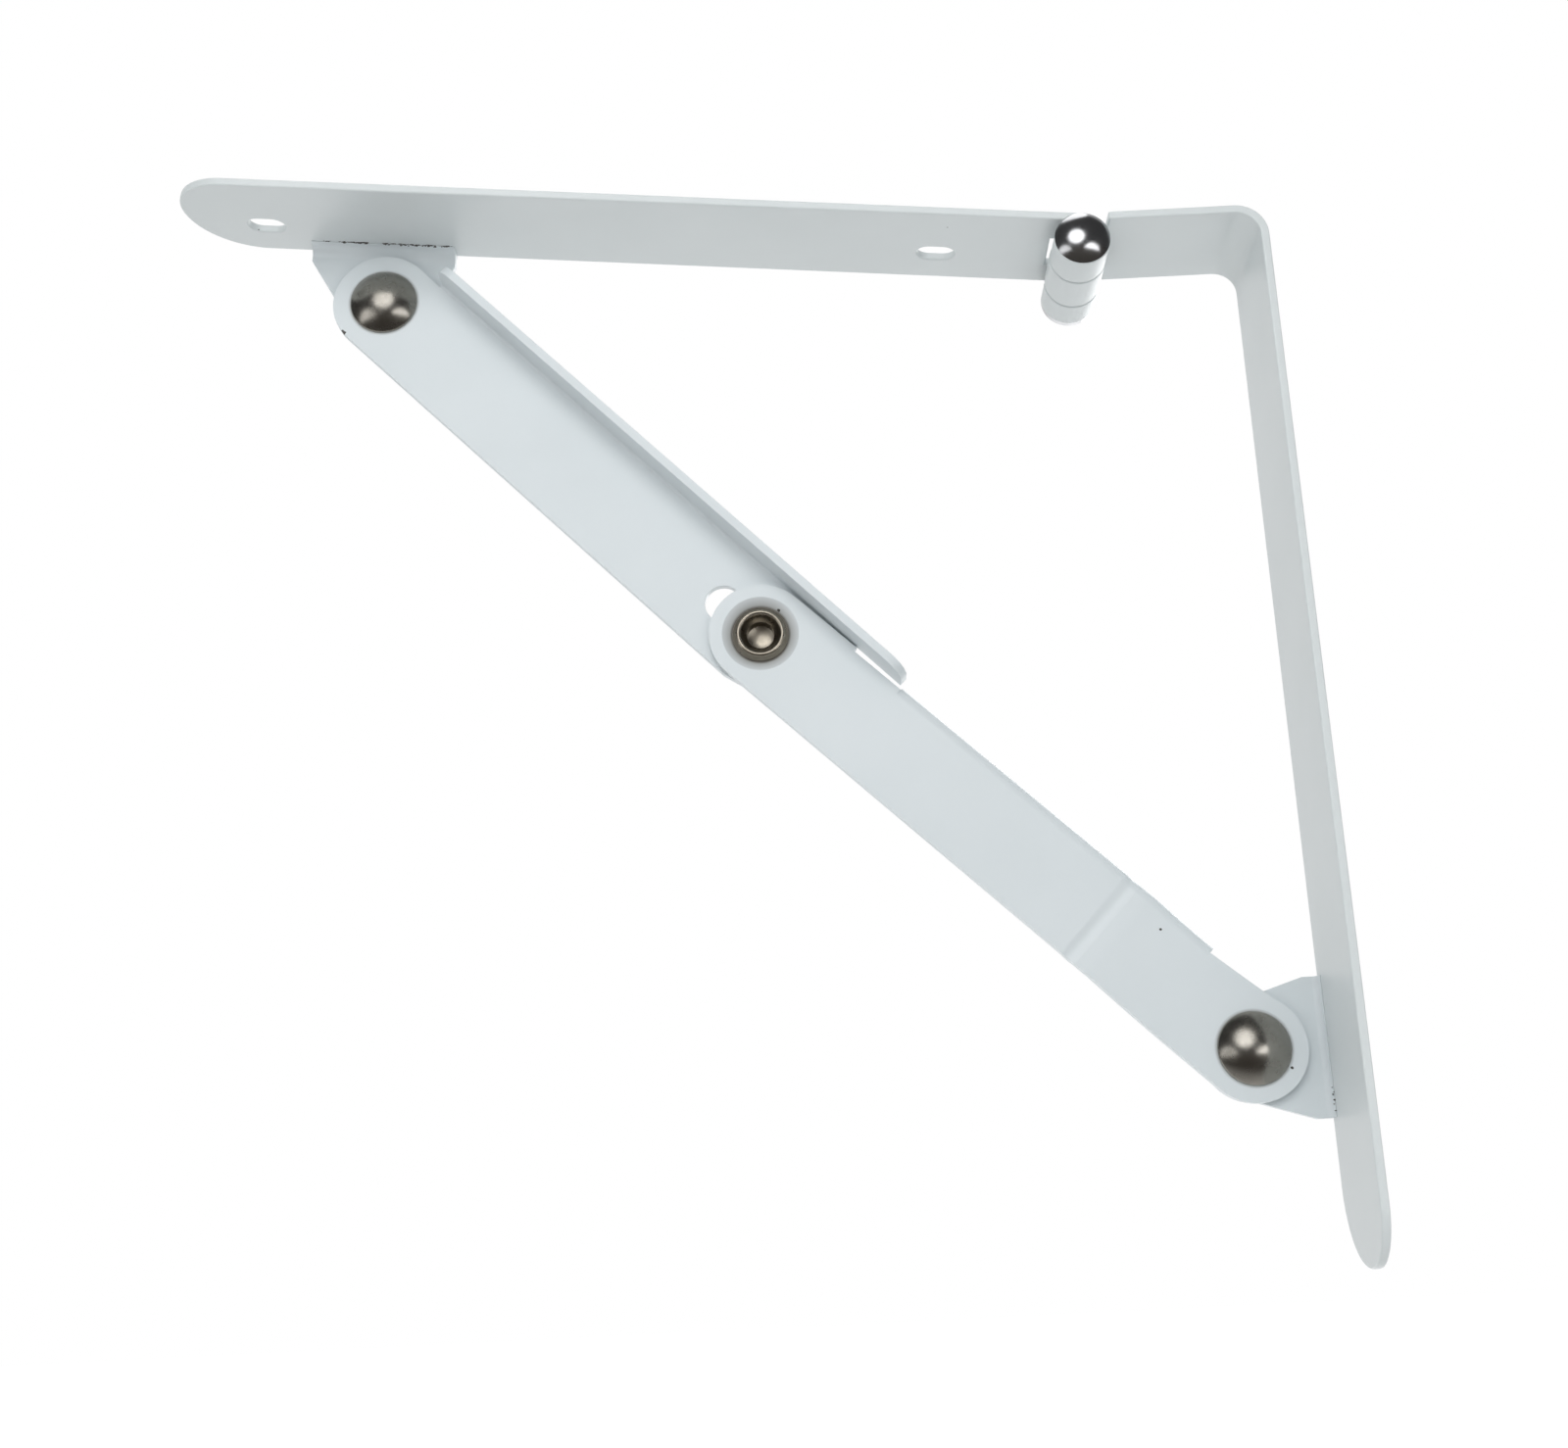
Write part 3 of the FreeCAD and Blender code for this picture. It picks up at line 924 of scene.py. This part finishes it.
@dataclass
class Studio:
    """A plain white studio: a floor, a white backdrop, a dark room in front and soft boxes."""

    aim: Vector = field(default_factory=lambda: Vector((-0.06, 0.02, -0.09)))
    floor_drop: float = 0.12
    floor_size: float = 40.0
    floor_glow: float = 0.75
    floor_span: Span = (-0.15, 0.2)
    near_floor: str = "#cfcfcf"
    dim_floor: str = "#4c4844"
    far_floor: str = "#f4f4f4"
    ambient: float = 0.54
    room: float = 0.05
    room_span: Span = (0.1, 0.5)
    boxes: tuple[Softbox, ...] = (
        Softbox("front_box", (-0.25, -1.05, 0.36), 0.9, 4.8),
        Softbox("left_box", (-0.9, -0.66, -0.42), 0.95, 3.2),
        Softbox("right_box", (0.52, -0.86, -0.52), 1.05, 6.6),
        Softbox("top_box", (-0.1, 0.3, 1.2), 0.9, 3.6),
        Softbox("back_box", (0.55, 1.05, 0.3), 0.9, 4.2),
    )

    def light(self) -> None:
        """Hang the softboxes."""
        for box in self.boxes:
            data = bpy.data.lights.new(box.name, "AREA")
            data.shape = "DISK"
            data.size = box.size
            data.energy = box.power
            lamp = bpy.data.objects.new(box.name, data)
            lamp.location = box.place
            lamp.rotation_euler = (self.aim - Vector(box.place)).to_track_quat("-Z", "Y").to_euler()
            bpy.context.scene.collection.objects.link(lamp)

    def backdrop(self) -> None:
        """Set the world: white behind the bracket, a dark room in front, and even fill light."""
        world = bpy.data.worlds.new("studio")
        world.use_nodes = True
        tree = world.node_tree
        tree.nodes.clear()
        path = add(tree, "ShaderNodeLightPath").outputs
        ray = add(tree, "ShaderNodeTexCoord").outputs["Generated"]
        ahead = add(tree, "ShaderNodeSeparateXYZ", {0: ray}).outputs["Y"]
        behind = remap(tree, ahead, self.room_span, (self.room, 1.0))
        fill = blend(tree, path["Is Glossy Ray"], self.ambient, behind, "FLOAT")
        seen = reckon(tree, "MAXIMUM", path["Is Camera Ray"], path["Is Transmission Ray"])
        level = blend(tree, seen, fill, 1.0, "FLOAT")
        glow = add(tree, "ShaderNodeBackground", {"Color": linear(WHITE), "Strength": level})
        add(tree, "ShaderNodeOutputWorld", {"Surface": glow.outputs["Background"]})
        bpy.context.scene.world = world

    def floor_material(self) -> bpy.types.Material:
        """Make the floor's finish: pale, white to the camera, and dim in front to what mirrors it.

        Returns:
            The material.
        """
        material, tree, place = new_material("pale_floor")
        path = add(tree, "ShaderNodeLightPath").outputs
        clear = reckon(tree, "MAXIMUM", path["Is Glossy Ray"], path["Is Transmission Ray"])
        seen = reckon(tree, "MAXIMUM", path["Is Camera Ray"], clear)
        depth = add(tree, "ShaderNodeSeparateXYZ", {0: place}).outputs["Y"]
        behind = remap(tree, depth, self.floor_span, UNIT)
        near = blend(tree, path["Is Glossy Ray"], linear(self.near_floor), linear(self.dim_floor))
        pale = add(tree, "ShaderNodeBsdfDiffuse", {
            "Color": blend(tree, behind, near, linear(self.far_floor))}).outputs["BSDF"]
        lit = reckon(tree, "MAXIMUM", path["Is Camera Ray"], behind)
        glow = add(tree, "ShaderNodeEmission", {
            "Color": linear(WHITE), "Strength": reckon(tree, "MULTIPLY", lit, self.floor_glow)})
        shown = add(tree, "ShaderNodeAddShader", {0: pale, 1: glow.outputs["Emission"]})
        shader = add(tree, "ShaderNodeMixShader", {
            "Fac": seen, 1: pale, 2: shown.outputs["Shader"]})
        add(tree, "ShaderNodeOutputMaterial", {"Surface": shader.outputs["Shader"]})
        return material

    def floor(self, lowest: float) -> None:
        """Lay the floor under the bracket.

        Args:
            lowest: The lowest point of the bracket, in metres.
        """
        half = self.floor_size / 2
        level = lowest - self.floor_drop
        corners = [(-half, -half, level), (half, -half, level),
                   (half, half, level), (-half, half, level)]
        mesh = bpy.data.meshes.new("floor")
        mesh.from_pydata(corners, [], [(0, 1, 2, 3)])
        mesh.materials.append(self.floor_material())
        floor = bpy.data.objects.new("floor", mesh)
        bpy.context.scene.collection.objects.link(floor)
        floor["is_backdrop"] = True

    def build(self, lowest: float) -> None:
        """Build the whole studio.

        Args:
            lowest: The lowest point of the bracket, in metres.
        """
        self.light()
        self.backdrop()
        self.floor(lowest)


def leaf_point(along: float, depth: float, above: float) -> Vector:
    """Give a point of the raised leaf arm in the frame.

    Args:
        along: Its distance from the hinge along the arm, in millimetres.
        depth: Its depth from the near edge, in millimetres.
        above: Its height over the hinge axis, square to the arm, in millimetres.

    Returns:
        The point in metres.
    """
    cos, sin = math.cos(LEAF_RAISE), math.sin(LEAF_RAISE)
    return Vector((above * sin - along * cos, depth, along * sin + above * cos)) * MM


def painted_sheets() -> list[PressedSheet]:
    """List the painted pieces with the marks that each one carries."""
    brace_run = (0.71849, 0.0, -0.69553)
    brace_edge_mm = 0.6
    leaf_eye, knee, wall_eye = (-166.244, 25.7, 6.134), (-78.56, 24.3, -83.94), (24.7, 25.7, -183.9)
    upper = Marks(
        chips=(Chip((-176.1, 25.7, -1.5), radius=0.75),),
        # Painted shadow: a grey ring round the leaf rivet's dome.
        shade_rings=(PaintedShadeRing(leaf_eye, inner=7.9, outer=8.8),))
    lower = Marks(
        chips=(Chip((6.6, 24.28, -157.0), radius=0.3),
               Chip((32.3, 25.7, -188.5), radius=0.35),
               Chip((-74.1, 24.28, -78.3), radius=0.35)),
        # Painted shade: grey rings round the wall rivet's dome, over the knee's pressed dish and
        # its rim, and a dark ring round the knee rivet.
        shade_rings=(PaintedShadeRing(wall_eye, inner=7.9, outer=8.8),
              PaintedShadeRing(knee, inner=8.7, outer=9.0, grey="#cacfd1"),
              PaintedShadeRing(knee, inner=6.6, outer=8.7, grey="#a3a6a4"),
              PaintedShadeRing(knee, inner=6.6, outer=7.1, grey="#66625b")),
        press=(PressLine((-7.07, 0.0, -153.15), brace_run, fall=2.0, rise=2.6, depth=0.6),
               PressLine((-3.3, 0.0, -156.8), brace_run, fall=4.0, rise=9.0, depth=-0.45),
               PressLine((9.8, 0.0, -169.5), brace_run, fall=6.0, rise=8.0, depth=-0.22)),
        rims=(Rim(knee, radius=8.9), Rim(knee, radius=6.6)))
    # Painted reflection: the strips get a copy of the one white coat, a touch less blue, standing
    # in for the light they reflect.
    strip_coat_reflection_tint = PowderCoat(white="#d9dfe0", shade="#d1d8d9")
    return [
        PressedSheet("wall_strip", Body.WALL, coat=strip_coat_reflection_tint),
        PressedSheet("wall_lug", Body.WALL),
        PressedSheet("lower_brace", Body.LOWER, edge_mm=brace_edge_mm, marks=lower),
        PressedSheet("upper_brace", Body.UPPER, edge_mm=brace_edge_mm, marks=upper),
        PressedSheet("leaf_strip", Body.LEAF, coat=strip_coat_reflection_tint),
        PressedSheet("leaf_lug", Body.LEAF)]


def plated_pieces(satin: NickelPlate) -> list[tuple[TurnedPiece, NickelPlate]]:
    """List the turned pieces with their finishes.

    Args:
        satin: The plain finish.

    Returns:
        Pieces and finishes in pairs.
    """
    bright = NickelPlate(plate="#c3c4c6", smear="#b2b3b5", roughness=(0.18, 0.25))
    dull = NickelPlate(plate="#aea79a", smear="#8c8579", roughness=(0.26, 0.38))
    return [
        (DomeRivet("leaf_rivet", Body.LEAF), satin),
        (DomeRivet("wall_rivet", Body.WALL), satin),
        (KneeRivet("knee_rivet", Body.LOWER), dull),
        (HingePin("hinge_pin_near", Body.LEAF), bright),
        (HingePin("hinge_pin_far", Body.LEAF, front=False, head=1.9), bright)]


def weld_seams() -> list[WeldSeam]:
    """List the seams along the front edges of the lugs' feet."""
    leaf_depth, leaf_above = 24.95, 4.6
    wall_x, wall_depth = 40.85, 26.35
    return [
        WeldSeam("leaf_weld", Body.LEAF,
                 start=leaf_point(182.4, leaf_depth, leaf_above),
                 end=leaf_point(150.4, leaf_depth, leaf_above),
                 count=110, bead_mm=0.36, share=0.52, seed=3),
        WeldSeam("wall_weld", Body.WALL,
                 start=Vector((wall_x, wall_depth, -192.8)) * MM,
                 end=Vector((wall_x, wall_depth, -197.8)) * MM,
                 count=6, bead_mm=0.32, share=1.0, seed=5)]


def main() -> None:
    """Build every piece in order and report it."""
    logging.basicConfig(level=logging.INFO, format="%(name)s %(message)s")
    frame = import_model()
    cad_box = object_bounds()
    bpy.context.scene.view_settings.view_transform = "Standard"
    PhotoCamera().build()
    Studio().build(cad_box[0][2])
    for sheet in painted_sheets():
        sheet.build(frame["nodes"])
    satin = NickelPlate()
    for piece, plate in plated_pieces(satin):
        piece.build(plate)
    washer = frame["nodes"]["knee_washer"]
    washer.data.materials.clear()
    washer.data.materials.append(satin.material("nickel_knee_washer"))
    scale = WeldScale()
    for seam in weld_seams():
        seam.build(scale)


if __name__ == "__main__":
    main()
